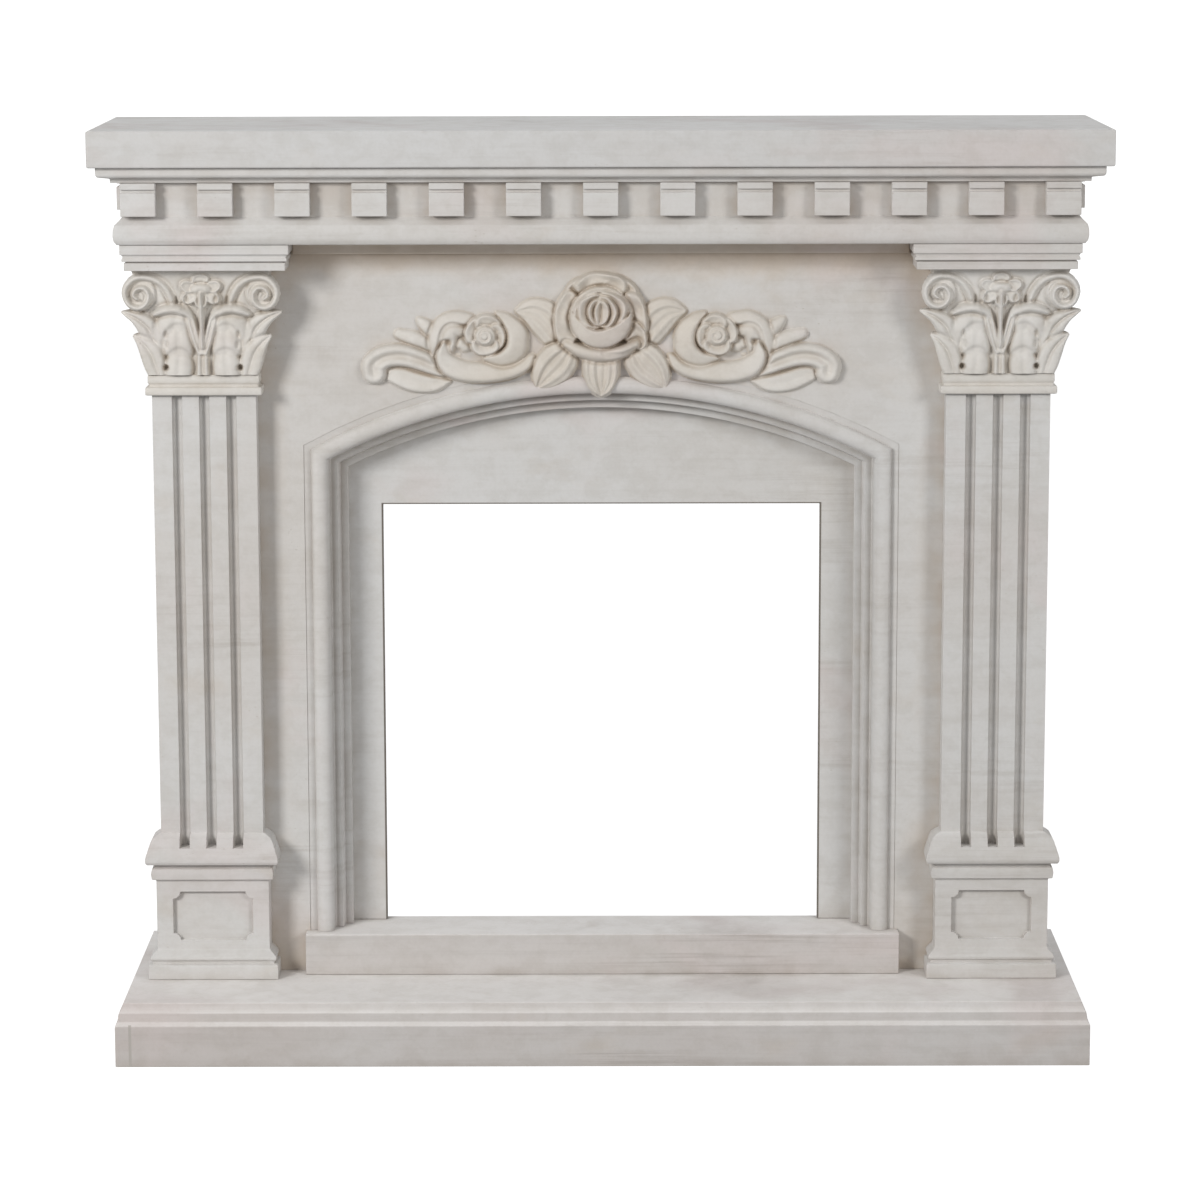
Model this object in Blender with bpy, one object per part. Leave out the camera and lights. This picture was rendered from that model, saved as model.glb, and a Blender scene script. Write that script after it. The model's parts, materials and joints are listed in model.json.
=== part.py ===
"""Fireplace mantel: shelf and dentil cornice on two fluted pilasters, with an arched front on a hearth.

Metres, +Z up. X runs across the front, the wall is at +Y and the front faces -Y. The origin is in the
middle of the footprint, on the floor. A depth is always measured forward from the wall.
"""
import bmesh
import bpy
from math import cos, pi, radians, sin, sqrt
from mathutils import Matrix, Vector

# Overall sizes
HEIGHT = 1.220
HEARTH_DEPTH = 0.400
SHELF_THICK = 0.0475
SHELF_NOSE = 0.010
GAP = 0.0003
BOARD = 0.018

# Fire opening and the board round it
OPENING_WIDTH = 0.587
OPENING_HEAD = 0.1329
OPENING_MARGIN = 0.045
INNER_PANEL_RISE = 0.040
RECESS = 0.0583

# Arched moulding, by its innermost edge
ARCH_RADIUS = 0.766
ARCH_SEGMENTS = 18
ARCH_MOULD_WIDTH = 0.056
BEAD_CENTRE = 0.035
BEAD_HALF = 0.0115
BEAD_PROUD = 0.0087

# Hearth slab and the step on it
HEARTH_FACE = 0.0546
HEARTH_MOULD_RISE = 0.0272
HEARTH_MOULD_INSET = 0.0194
HEARTH_SIDE_INSET = 0.0095
HEARTH_MARGIN = 0.0525
STEP_LAP = 0.005
STEP_RISE = 0.0555
STEP_PROUD = 0.0252
STEP_ARRIS = 0.0012

# Carcass behind the front
FACE_DEPTH = 0.2153

# Entablature
FRIEZE_OVERHANG = 0.0325
FRIEZE_PROUD = 0.0747
FRIEZE_HEIGHT = 0.0452
BED_HEIGHT = 0.0205
BED_FILLET_HEIGHT = 0.006
BED_FILLET_OUT = 0.013
BED_OUT = 0.030
ARCHITRAVE_HEIGHT = 0.0356
ARCHITRAVE_OUT = 0.0115
IMPOST_HEIGHT = 0.0345
IMPOST_WIDTH = 0.211
IMPOST_OVERHANG = 0.004
CORNICE_STRIP_HEIGHT = 0.018
CORNICE_STRIP_OUT = 0.010

# Dentils
DENTIL_COUNT = 13
DENTIL_SPACE_SHARE = 1.187
RETURN_DENTIL_COUNT = 2
DENTIL_OUT = 0.018
DENTIL_DROP = 0.043
DENTIL_CAP = 0.0085
DENTIL_GROOVE = 0.0040
DENTIL_GROOVE_DEPTH = 0.0045

# Pilasters
PILASTER_SPACING = 0.1225
PILASTER_EDGE = 0.0655
SHAFT_WIDTH = 0.137
SHAFT_PROUD = 0.0317
FLUTE_COUNT = 3
FLUTE_PITCH = 0.0357
FLUTE_WIDTH = 0.0136
FLUTE_DEPTH = 0.010
FLUTE_STEPS = 6
SHAFT_FLARE = 0.0155
SHAFT_FLARE_RISE = 0.018
CAPITAL_HEIGHT = 0.1667
PEDESTAL_HEIGHT = 0.1802
DIE_PANEL_WIDTH = 0.107
DIE_PANEL_HEIGHT = 0.067
DIE_PANEL_RAISE = 0.0514
DIE_PANEL_SINK = 0.007
DIE_PANEL_CORNER = 0.010
CORNER_STEPS = 3

# Carved spray over the arch and the carving of the capitals
SPRAY_HALF_WIDTH = 0.317
SPRAY_ABOVE_CROWN = 0.124
SPRAY_DROP = 0.1035
CARVING_SINK = 0.004

# Levels, planes and widths worked out from the sizes above
WALL_Y = HEARTH_DEPTH / 2
HEARTH_TOP = HEARTH_FACE + HEARTH_MOULD_RISE
STEP_TOP = HEARTH_TOP + STEP_RISE
PEDESTAL_TOP = HEARTH_TOP + PEDESTAL_HEIGHT
SHELF_BOTTOM = HEIGHT - SHELF_THICK
BED_BOTTOM = SHELF_BOTTOM - BED_HEIGHT
FRIEZE_BOTTOM = BED_BOTTOM - FRIEZE_HEIGHT
ARCHITRAVE_BOTTOM = FRIEZE_BOTTOM - ARCHITRAVE_HEIGHT
IMPOST_BOTTOM = ARCHITRAVE_BOTTOM - IMPOST_HEIGHT
CAPITAL_BOTTOM = IMPOST_BOTTOM - CAPITAL_HEIGHT
SPRAY_Z = ARCHITRAVE_BOTTOM - SPRAY_DROP
ARCH_CROWN = SPRAY_Z - SPRAY_ABOVE_CROWN
ARCH_CENTRE_Z = ARCH_CROWN - ARCH_RADIUS
OPENING_TOP = ARCH_CROWN - OPENING_HEAD
PANEL_BACK = FACE_DEPTH - BOARD
RECESS_DEPTH = FACE_DEPTH - RECESS
STEP_DEPTH = FACE_DEPTH + STEP_PROUD
SHAFT_DEPTH = FACE_DEPTH + SHAFT_PROUD
FRIEZE_DEPTH = FACE_DEPTH + FRIEZE_PROUD
INNER_BACK = RECESS_DEPTH - BOARD
SHAFT_HALF = SHAFT_WIDTH / 2
ARCH_WIDTH = OPENING_WIDTH + 2 * OPENING_MARGIN
STEP_WIDTH = ARCH_WIDTH + 2 * (ARCH_MOULD_WIDTH + STEP_LAP)
PILASTER_CENTRE = STEP_WIDTH / 2 + PILASTER_SPACING
BODY_HALF = PILASTER_CENTRE + PILASTER_EDGE
HEARTH_WIDTH = 2 * (BODY_HALF + HEARTH_MARGIN)
FRIEZE_HALF = BODY_HALF + FRIEZE_OVERHANG
FRIEZE_WIDTH = 2 * FRIEZE_HALF
SHELF_WIDTH = FRIEZE_WIDTH + 2 * (BED_OUT + SHELF_NOSE)
SHELF_DEPTH = FRIEZE_DEPTH + BED_OUT + SHELF_NOSE

# Finishes, as (colour, roughness); none of them is metallic
LIMEWASH = ((0.74, 0.72, 0.68), 0.62)
INNER_WASH = ((0.73, 0.71, 0.67), 0.60)
HEARTH_WASH = ((0.71, 0.69, 0.65), 0.60)
GLAZED_WASH = ((0.72, 0.67, 0.58), 0.58)


def material(name, look):
    """Principled material of one colour."""
    colour, roughness = look
    made = bpy.data.materials.new(name)
    made.use_nodes = True
    shader = made.node_tree.nodes["Principled BSDF"]
    shader.inputs["Base Color"].default_value = (*colour, 1.0)
    shader.inputs["Roughness"].default_value = roughness
    shader.inputs["Metallic"].default_value = 0.0
    return made


def at(x, depth, z):
    """A point given by its depth in front of the wall."""
    return Vector((x, WALL_Y - depth, z))


def dress(body, look):
    """Gives a piece its material and its shading."""
    body.data.materials.clear()
    body.data.materials.append(material(f"{body.name}_finish", look))
    body.data.shade_smooth()
    body.data.set_sharp_from_angle(angle=radians(32))


def finish(name, mesh_data, look):
    """Links a mesh as a named object, with its origin under its middle and its faces pointing out."""
    corners = [vertex.co.copy() for vertex in mesh_data.vertices]
    low = Vector([min(point[axis] for point in corners) for axis in range(3)])
    high = Vector([max(point[axis] for point in corners) for axis in range(3)])
    origin = Vector(((low.x + high.x) / 2, (low.y + high.y) / 2, low.z))
    mesh_data.transform(Matrix.Translation(-origin))
    shell = bmesh.new()
    shell.from_mesh(mesh_data)
    bmesh.ops.recalc_face_normals(shell, faces=shell.faces)
    shell.to_mesh(mesh_data)
    shell.free()
    made = bpy.data.objects.new(name, mesh_data)
    made.location = origin
    bpy.context.scene.collection.objects.link(made)
    dress(made, look)
    return made


def ring_faces(ring_count, side_count, offset=0):
    """Faces of a tube through equal rings, closed by a cap at each end."""
    faces = []
    for ring in range(ring_count - 1):
        for side in range(side_count):
            after = (side + 1) % side_count
            low = offset + ring * side_count
            high = low + side_count
            faces.append((low + side, low + after, high + after, high + side))
    faces.append(tuple(offset + side for side in reversed(range(side_count))))
    last = offset + (ring_count - 1) * side_count
    faces.append(tuple(last + side for side in range(side_count)))
    return faces


def loft(name, rings, look):
    """Solid through rings that all have the same number of points."""
    points = [point for ring in rings for point in ring]
    mesh_data = bpy.data.meshes.new(name)
    mesh_data.from_pydata(points, [], ring_faces(len(rings), len(rings[0])))
    return finish(name, mesh_data, look)


def mirrored(side, points):
    """Points of the right-hand piece, or their mirror image for the left-hand one."""
    return [Vector((side * point.x, point.y, point.z)) for point in points]


def slab(name, half_width, depth, levels, look, side_share=1.0):
    """Solid against the wall with a moulding of (height, overhang), which the sides follow to a share."""
    rings = []
    for z, out in levels:
        half = half_width + out * side_share
        rings.append([at(-half, 0, z), at(-half, depth + out, z), at(half, depth + out, z), at(half, 0, z)])
    return loft(name, rings, look)


def u_rail(name, levels, inner_half, inner_depth, look):
    """Rail round the front and two sides of the frieze, open to the wall."""
    rings = []
    for z, out in levels:
        half = FRIEZE_HALF + out
        front = FRIEZE_DEPTH + out
        rings.append([
            at(-half, 0, z), at(-half, front, z), at(half, front, z), at(half, 0, z),
            at(inner_half, 0, z), at(inner_half, inner_depth, z),
            at(-inner_half, inner_depth, z), at(-inner_half, 0, z)])
    return loft(name, rings, look)


def extrude_across(name, x0, x1, section, look):
    """Solid of one (depth, height) section along X."""
    rings = [[at(x, depth, z) for depth, z in section] for x in (x0, x1)]
    return loft(name, rings, look)


def extrude_forward(name, outline, back, front, look):
    """Solid of one (x, height) outline between two depths."""
    rings = [[at(x, depth, z) for x, z in outline] for depth in (back, front)]
    return loft(name, rings, look)


def arch_half_span(offset):
    """Half the width of the arched moulding, offset outward from its innermost edge."""
    return ARCH_WIDTH / 2 + offset


def arch_path(offset, foot):
    """Points (x, height) up the left jamb, over the arch and down the right jamb."""
    half = arch_half_span(offset)
    radius = ARCH_RADIUS + offset
    points = [(-half, foot)]
    for step in range(ARCH_SEGMENTS + 1):
        x = half * (2 * step / ARCH_SEGMENTS - 1)
        points.append((x, ARCH_CENTRE_Z + sqrt(radius ** 2 - x ** 2)))
    points.append((half, foot))
    return points


def build_shelf(look):
    """Top slab, with its arrises just eased."""
    ease = 0.0015
    levels = [(SHELF_BOTTOM, -ease), (SHELF_BOTTOM + ease, 0), (HEIGHT - ease, 0), (HEIGHT, -ease)]
    slab("shelf", SHELF_WIDTH / 2, SHELF_DEPTH, levels, look)


def build_bed_moulding(look):
    """Bed board under the shelf, with a fillet and a projecting band."""
    fillet_top = BED_BOTTOM + BED_FILLET_HEIGHT
    levels = [
        (BED_BOTTOM, BED_FILLET_OUT), (fillet_top - 0.0005, BED_FILLET_OUT),
        (fillet_top + 0.002, BED_OUT - 0.002), (fillet_top + 0.005, BED_OUT),
        (SHELF_BOTTOM - GAP, BED_OUT)]
    slab("bed_moulding", FRIEZE_HALF, FRIEZE_DEPTH, levels, look)


def build_frieze(look):
    """Plain frieze boards behind the dentils."""
    levels = [(FRIEZE_BOTTOM + GAP, 0), (BED_BOTTOM - GAP, 0)]
    u_rail("frieze", levels, FRIEZE_HALF - BOARD, FRIEZE_DEPTH - BOARD, look)


def build_architrave(look):
    """Cushion moulding under the frieze, which sits on the front and side boards."""
    profile = [
        (0.00, 0.60), (0.12, 0.88), (0.30, 1.00), (0.55, 0.97), (0.72, 0.82), (0.88, 0.32), (1.00, 0.00)]
    levels = [(ARCHITRAVE_BOTTOM + ARCHITRAVE_HEIGHT * up, ARCHITRAVE_OUT * out) for up, out in profile]
    u_rail("architrave", levels, BODY_HALF - BOARD, PANEL_BACK, look)


def dentil_section(back, front):
    """Side view of a dentil: a block with a groove under its cap."""
    top = BED_BOTTOM - GAP
    bottom = top - DENTIL_DROP
    groove_top = top - DENTIL_CAP
    groove_bottom = groove_top - DENTIL_GROOVE
    inner = front - DENTIL_GROOVE_DEPTH
    return [
        (back, bottom), (front, bottom), (front, groove_bottom), (inner, groove_bottom),
        (inner, groove_top), (front, groove_top), (front, top), (back, top)]


def build_dentils(look):
    """Row of dentils across the front, ending flush with the frieze, and the returns on its sides."""
    width = FRIEZE_WIDTH / (DENTIL_COUNT + (DENTIL_COUNT - 1) * DENTIL_SPACE_SHARE)
    pitch = width * (1 + DENTIL_SPACE_SHARE)
    section = dentil_section(FRIEZE_DEPTH + GAP, FRIEZE_DEPTH + DENTIL_OUT)
    for index in range(DENTIL_COUNT):
        left = -FRIEZE_HALF + index * pitch
        extrude_across(f"dentil_{index + 1:02d}", left, left + width, section, look)
    section = dentil_section(FRIEZE_HALF + GAP, FRIEZE_HALF + DENTIL_OUT)
    for index in range(RETURN_DENTIL_COUNT):
        near = FRIEZE_DEPTH - (index + 1) * pitch
        for side, label in ((-1, "left"), (1, "right")):
            rings = [[at(side * x, depth, z) for x, z in section] for depth in (near - width, near)]
            loft(f"dentil_{label}_{index + 1}", rings, look)


def impost_levels():
    """Block, bead, cove and upper band of the impost, as (height, overhang past the frieze)."""
    top = ARCHITRAVE_BOTTOM - GAP
    low = IMPOST_BOTTOM + GAP
    rise = top - low
    profile = [
        (0.0, -0.22), (0.30, -0.22), (0.31, -1.0), (0.353, -1.0), (0.362, 0.42), (0.465, 0.42), (0.515, 0.05),
        (0.60, 0.30), (0.635, 1.0), (1.0, 1.0)]
    return [(low + rise * up, IMPOST_OVERHANG * out) for up, out in profile]


def build_imposts(look):
    """Stepped block over each capital that returns along the side to the wall."""
    inner_edge = FRIEZE_HALF - IMPOST_WIDTH
    board_face = BODY_HALF + GAP
    panel_face = FACE_DEPTH + GAP
    for side, label in ((-1, "left"), (1, "right")):
        rings = []
        for z, out in impost_levels():
            half = FRIEZE_HALF + out
            front = FRIEZE_DEPTH + out
            inner = inner_edge - out
            rings.append(mirrored(side, [
                at(inner, panel_face, z), at(inner, front, z), at(half, front, z), at(half, 0, z),
                at(board_face, 0, z), at(board_face, panel_face, z)]))
        loft(f"impost_{label}", rings, look)


def build_cornice_strip(look):
    """Slim strip under the architrave, between the imposts."""
    half = FRIEZE_HALF - IMPOST_WIDTH - IMPOST_OVERHANG - GAP
    top = ARCHITRAVE_BOTTOM - GAP
    bottom = top - CORNICE_STRIP_HEIGHT
    back = FACE_DEPTH + GAP
    front = back + CORNICE_STRIP_OUT
    shoulder = top - 0.4 * CORNICE_STRIP_HEIGHT
    section = [(back, bottom), (front, bottom), (front, shoulder), (front + 0.003, top), (back, top)]
    extrude_across("panel_cornice", -half, half, section, look)


def build_face_panel(look):
    """Front board, cut out for the arched moulding and notched over the step."""
    top = ARCHITRAVE_BOTTOM - GAP
    foot = HEARTH_TOP + GAP
    step_foot = STEP_TOP + GAP
    step_side = STEP_WIDTH / 2 + GAP
    arch = arch_path(ARCH_MOULD_WIDTH, step_foot)
    notch = [(-BODY_HALF, foot), (-step_side, foot), (-step_side, step_foot)]
    far_side = [(-x, z) for x, z in reversed(notch)]
    outline = notch + arch + far_side + [(BODY_HALF, top), (-BODY_HALF, top)]
    extrude_forward("face_panel", outline, PANEL_BACK, FACE_DEPTH, look)


def arch_section():
    """Section of the arched moulding as (offset outward, depth), clockwise from its inner back edge."""
    back = RECESS_DEPTH + GAP
    outer = ARCH_MOULD_WIDTH - GAP
    face = FACE_DEPTH
    inner_band = RECESS_DEPTH + 0.021
    outer_band = FACE_DEPTH - 0.018
    points = [
        (0.0, back), (0.0, inner_band - 0.001), (0.001, inner_band), (0.0088, inner_band),
        (0.0100, inner_band - 0.001), (0.0118, outer_band - 0.003), (0.0130, outer_band),
        (0.0187, outer_band), (0.0200, outer_band - 0.002), (0.0222, outer_band - 0.002),
        (BEAD_CENTRE - BEAD_HALF, face - 0.004)]
    for step in range(1, 6):
        angle = pi * step / 6
        points.append((BEAD_CENTRE - BEAD_HALF * cos(angle), face - 0.001 + (BEAD_PROUD + 0.001) * sin(angle)))
    points += [(BEAD_CENTRE + BEAD_HALF, face - 0.004), (outer, face - 0.004), (outer, back)]
    return points


def build_arch_moulding(look):
    """Beaded frame up both jambs and over the arch, mitred where the arch springs."""
    foot = STEP_TOP + GAP
    paths = [(arch_path(offset, foot), depth) for offset, depth in arch_section()]
    columns = len(paths[0][0])
    rings = []
    for column in range(columns):
        rings.append([at(path[column][0], depth, path[column][1]) for path, depth in paths])
    loft("arch_moulding", rings, look)


def build_inner_panel(look):
    """Board set back inside the arch, with the fire opening cut out of it."""
    half = STEP_WIDTH / 2
    inner = OPENING_WIDTH / 2
    foot = STEP_TOP + GAP
    top = ARCH_CROWN + INNER_PANEL_RISE
    outline = [
        (-half, foot), (-inner, foot), (-inner, OPENING_TOP), (inner, OPENING_TOP),
        (inner, foot), (half, foot), (half, top), (-half, top)]
    extrude_forward("inner_panel", outline, INNER_BACK, RECESS_DEPTH, look)


def build_side_panels(look):
    """Side boards of the carcass, from the hearth to the architrave."""
    low = HEARTH_TOP + GAP
    top = ARCHITRAVE_BOTTOM - GAP
    for side, label in ((-1, "left"), (1, "right")):
        rings = []
        for z in (low, top):
            rings.append([
                at(side * x, depth, z) for x, depth in (
                    (BODY_HALF - BOARD, 0), (BODY_HALF - BOARD, PANEL_BACK - GAP),
                    (BODY_HALF, PANEL_BACK - GAP), (BODY_HALF, 0))])
        loft(f"side_panel_{label}", rings, look)


def shaft_section(out):
    """Plan of a fluted shaft as (x, depth), its face and sides moved outward and the flutes' floors kept."""
    back = FACE_DEPTH + GAP
    half = SHAFT_HALF + out
    front = SHAFT_DEPTH + out
    section = [(-half, back), (-half, front)]
    for index in range(FLUTE_COUNT):
        centre = (index - (FLUTE_COUNT - 1) / 2) * FLUTE_PITCH
        for step in range(FLUTE_STEPS + 1):
            angle = pi * step / FLUTE_STEPS
            sunk = (FLUTE_DEPTH + out) * sqrt(abs(sin(angle)))
            section.append((centre - FLUTE_WIDTH / 2 * cos(angle), front - sunk))
    return section + [(half, front), (half, back)]


def build_shafts(look):
    """Pilaster shafts with full-length flutes and a rounded flare at the foot."""
    low = PEDESTAL_TOP + GAP
    top = CAPITAL_BOTTOM - GAP
    flare = [(0.0, 1.0), (0.33, 0.90), (0.66, 0.70), (0.86, 0.38), (1.0, 0.0)]
    levels = [(low + SHAFT_FLARE_RISE * up, SHAFT_FLARE * out) for up, out in flare] + [(top, 0.0)]
    for side, label in ((-1, "left"), (1, "right")):
        rings = []
        for z, out in levels:
            rings.append([at(side * (PILASTER_CENTRE + x), depth, z) for x, depth in shaft_section(out)])
        loft(f"shaft_{label}", rings, look)


def pilaster_ring(side, z, out):
    """Plan of a pilaster at one height, with the same overhang past the shaft at the front and sides."""
    half = SHAFT_HALF + out
    front = SHAFT_DEPTH + out
    back = FACE_DEPTH + GAP
    centre = PILASTER_CENTRE
    return mirrored(side, [
        at(centre - half, back, z), at(centre - half, front, z),
        at(centre + half, front, z), at(centre + half, back, z)])


def rounded_rectangle(width, height, corner):
    """Outline (x, height) of a rectangle with scooped corners, centred on the origin."""
    points = []
    for sx, sz in ((1, -1), (1, 1), (-1, 1), (-1, -1)):
        for step in range(CORNER_STEPS + 1):
            turn = step / CORNER_STEPS * pi / 2
            along, across = (sin(turn), cos(turn)) if sx * sz > 0 else (cos(turn), sin(turn))
            x = width / 2 - corner * along
            z = height / 2 - corner * across
            points.append((sx * x, sz * z))
    return points


def apply_boolean(target, operand, operation, look, own_overlaps=False):
    """Applies one exact Boolean and removes the operand."""
    bpy.context.view_layer.update()
    cut = target.modifiers.new("cut", "BOOLEAN")
    cut.operation = operation
    cut.solver = "EXACT"
    cut.use_self = own_overlaps
    cut.object = operand
    seen = target.evaluated_get(bpy.context.evaluated_depsgraph_get())
    result = bpy.data.meshes.new_from_object(seen)
    target.modifiers.clear()
    target.data = result
    dress(target, look)
    bpy.data.objects.remove(operand, do_unlink=True)


def build_pedestals(look):
    """Pilaster pedestals: plinth, base mouldings, die with a sunk panel, and the cap under the shaft."""
    base = HEARTH_TOP + GAP
    unit = PEDESTAL_HEIGHT / 180
    die_out = 7.0
    profile = [
        (0, 18.5), (18.5, 18.5), (19.8, 17.3), (20.4, 13.0), (24.6, 13.0), (25.4, 15.4), (28.5, 16.2),
        (31.5, 15.0), (35.0, 11.4), (38.0, 8.2), (41.0, die_out), (134.0, die_out), (134.8, 8.2),
        (136.0, 12.4), (144.0, 13.4), (150.5, 12.2), (151.5, 9.0), (156.0, 9.0), (157.5, 18.5),
        (161.0, 20.3), (165.5, 20.3), (170.0, 19.2), (175.0, 17.4)]
    levels = [(base + rise * unit, out * unit) for rise, out in profile]
    levels.append((PEDESTAL_TOP, SHAFT_FLARE + 0.6 * unit))
    die_front = SHAFT_DEPTH + die_out * unit
    middle = base + DIE_PANEL_RAISE + DIE_PANEL_HEIGHT / 2
    outline = rounded_rectangle(DIE_PANEL_WIDTH, DIE_PANEL_HEIGHT, DIE_PANEL_CORNER)
    for side, label in ((-1, "left"), (1, "right")):
        block = loft(f"pedestal_{label}", [pilaster_ring(side, z, out) for z, out in levels], look)
        panel = [(side * PILASTER_CENTRE + x, middle + z) for x, z in outline]
        sunk = die_front - DIE_PANEL_SINK
        cutter = extrude_forward("panel_cutter", panel, sunk, die_front + DIE_PANEL_SINK, look)
        apply_boolean(block, cutter, "DIFFERENCE", look)


def ridge_shell(path, widths, heights, ridge, base, sink):
    """Carved ridge along a path of (x, z): points as (x, z, relief) and faces, with tapering widths."""
    section = [(-1.0, 0.18), (-0.62, 0.86), (0.0, ridge), (0.62, 0.86), (1.0, 0.18)]
    points = []
    for index, (x, z) in enumerate(path):
        before = path[max(index - 1, 0)]
        after = path[min(index + 1, len(path) - 1)]
        run = Vector((after[0] - before[0], after[1] - before[1])).normalized()
        across = Vector((-run.y, run.x))
        for share, rise in section:
            reach = share * widths[index]
            points.append((x + across.x * reach, z + across.y * reach, base + rise * heights[index]))
        for share in (1.0, -1.0):
            reach = share * widths[index]
            points.append((x + across.x * reach, z + across.y * reach, base - sink))
    return points, ring_faces(len(path), len(section) + 2)


def turned_shell(centre, profile, sides, base, sink, lobes=0, lobe_share=0.0):
    """Turned form such as a rose, from (radius, relief) rings, with an optional lobed outline."""
    points = []
    rings = [(profile[0][0], -sink)] + profile
    for radius, rise in rings:
        for side in range(sides):
            angle = 2 * pi * side / sides
            reach = radius * (1 + lobe_share * cos(lobes * angle))
            points.append((centre[0] + reach * sin(angle), centre[1] + reach * cos(angle), base + rise))
    return points, ring_faces(len(rings), sides)


def fuse(name, shells, place, look):
    """Joins overlapping carved shells into one body."""
    parts = []
    for label, group in (("core", shells[:1]), ("carving", shells[1:])):
        points = []
        faces = []
        for shell_points, shell_faces in group:
            faces += [tuple(len(points) + corner for corner in face) for face in shell_faces]
            points += [place(*point) for point in shell_points]
        mesh_data = bpy.data.meshes.new(label)
        mesh_data.from_pydata(points, [], faces)
        parts.append(finish(name if label == "core" else label, mesh_data, look))
    body, carving = parts
    apply_boolean(body, carving, "UNION", look, own_overlaps=True)
    return body


def tidy(body):
    """Clears slivers that a cut leaves."""
    shell = bmesh.new()
    shell.from_mesh(body.data)
    bmesh.ops.remove_doubles(shell, verts=shell.verts, dist=0.00002)
    bmesh.ops.dissolve_degenerate(shell, edges=shell.edges, dist=0.00002)
    bmesh.ops.triangulate(shell, faces=shell.faces)
    bmesh.ops.recalc_face_normals(shell, faces=shell.faces)
    shell.to_mesh(body.data)
    shell.free()


def flatten_back(body, half_width, low, top, depth, look):
    """Cuts a carved body off flat at the board that it is fixed to."""
    outline = [(-half_width, low), (half_width, low), (half_width, top), (-half_width, top)]
    cutter = extrude_forward("back_cutter", outline, depth - 0.05, depth, look)
    apply_boolean(body, cutter, "DIFFERENCE", look)


def spray_shells():
    """Forms of the spray in shares of its half width: a rose, its leaves, rosettes and scrolled ends."""
    unit = SPRAY_HALF_WIDTH / 317
    sink = CARVING_SINK

    def ridge(path, widths, heights, crest, side):
        route = [(side * x * unit, z * unit) for x, z in path]
        return ridge_shell(
            route, [w * unit for w in widths], [h * unit for h in heights], crest, 0.0, sink)

    def turned(centre, profile, sides, lobes=0, share=0.0):
        rings = [(radius * unit, rise * unit) for radius, rise in profile]
        return turned_shell((centre[0] * unit, centre[1] * unit), rings, sides, 0.0, sink, lobes, share)

    rose = [(43, 12), (43, 20), (38, 30), (34, 31), (31, 24), (22, 23), (18, 31), (10, 33), (5, 31)]
    calyx = [(58, 3), (57, 12), (44, 17), (20, 16)]
    rosette = [(25.5, 4), (26, 10), (22, 16), (17, 16), (14, 11), (9, 12), (6, 17), (3, 17)]
    shells = [
        turned((0, 1), calyx, 15, 5, 0.07),
        turned((0, 2), rose, 14),
        ridge([(0, -56), (0, -76), (0, -102)], [18, 23, 2], [20, 21, 15], 0.85, 1),
        ridge([(-48, -40), (-25, -53), (0, -58), (25, -53), (48, -40)],
              [4, 8, 8, 8, 4], [17, 22, 23, 22, 17], 1.03, 1)]
    for side in (-1, 1):
        shells += [
            ridge([(30, -12), (90, -30), (150, -44), (206, -56), (236, -62)],
                  [30, 27, 30, 16, 8], [5, 4, 4, 4, 4], 1, side),
            ridge([(203, -46), (195, -61), (177, -73), (146, -75), (117, -70), (84, -58)],
                  [7, 12, 13, 12, 12, 8], [9, 11, 12, 12, 12, 10], 0.62, side),
            ridge([(198, -83), (219, -69), (237, -57), (258, -50), (279, -50), (298, -57), (307, -70), (303, -82)],
                  [6, 9, 10, 10, 10, 11, 10, 6], [10, 12, 13, 13, 13, 12, 11, 8], 0.70, side),
            ridge([(279, -70), (264, -77), (244, -86), (224, -92), (204, -88)],
                  [4, 9, 8, 6, 4], [6, 8, 9, 8, 6], 1.05, side),
            ridge([(194, -44), (216, -31), (240, -25), (268, -23)], [8, 9, 8, 2], [8, 11, 9, 4], 1.1, side),
            ridge([(196, -42), (215, -22), (232, -12), (248, -7)], [8, 9, 8, 2], [8, 11, 9, 4], 1.1, side),
            ridge([(203, -42), (211, -22), (203, -5), (189, 0), (180, -8), (184, -22)],
                  [9, 12, 10, 9, 7, 4], [9, 13, 14, 13, 12, 8], 0.72, side),
            turned((side * 152, -23), rosette, 12),
            ridge([(140, -54), (119, -49), (106, -35), (108, -17), (123, -3)],
                  [4, 11, 13, 11, 3], [6, 11, 13, 12, 6], 0.75, side),
            ridge([(52, -38), (73, -18), (89, 0), (104, 10)], [12, 18, 15, 2], [14, 15, 12, 4], 0.8, side),
            ridge([(42, -38), (58, -57), (70, -76), (74, -88)], [10, 21, 17, 2], [19, 20, 19, 14], 0.85, side)]
    return shells


def build_rose_spray(look):
    """Rose and leaves in relief on the front board, hollowed behind where they cross the bead of the arch."""
    plane = FACE_DEPTH + GAP
    body = fuse("rose_spray", spray_shells(), lambda x, z, rise: at(x, plane + rise, SPRAY_Z + z), look)
    flatten_back(body, SPRAY_HALF_WIDTH * 1.1, SPRAY_Z - 0.2, SPRAY_Z + 0.2, plane, look)
    outside = arch_path(BEAD_CENTRE + BEAD_HALF + GAP, STEP_TOP)
    inside = arch_path(BEAD_CENTRE - BEAD_HALF - GAP, STEP_TOP)
    clear = FACE_DEPTH + BEAD_PROUD + GAP
    cutter = extrude_forward("bead_cutter", outside + inside[::-1], plane - BOARD, clear, look)
    apply_boolean(body, cutter, "DIFFERENCE", look)
    tidy(body)


def spiral_path(centre, radius, inner, turns, steps, start, side):
    """Points of a spiral that winds in from radius to inner."""
    points = []
    for step in range(steps + 1):
        share = step / steps
        angle = start - side * turns * 2 * pi * share
        reach = radius + (inner - radius) * share
        points.append((centre[0] + reach * cos(angle), centre[1] + reach * sin(angle)))
    return points


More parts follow.
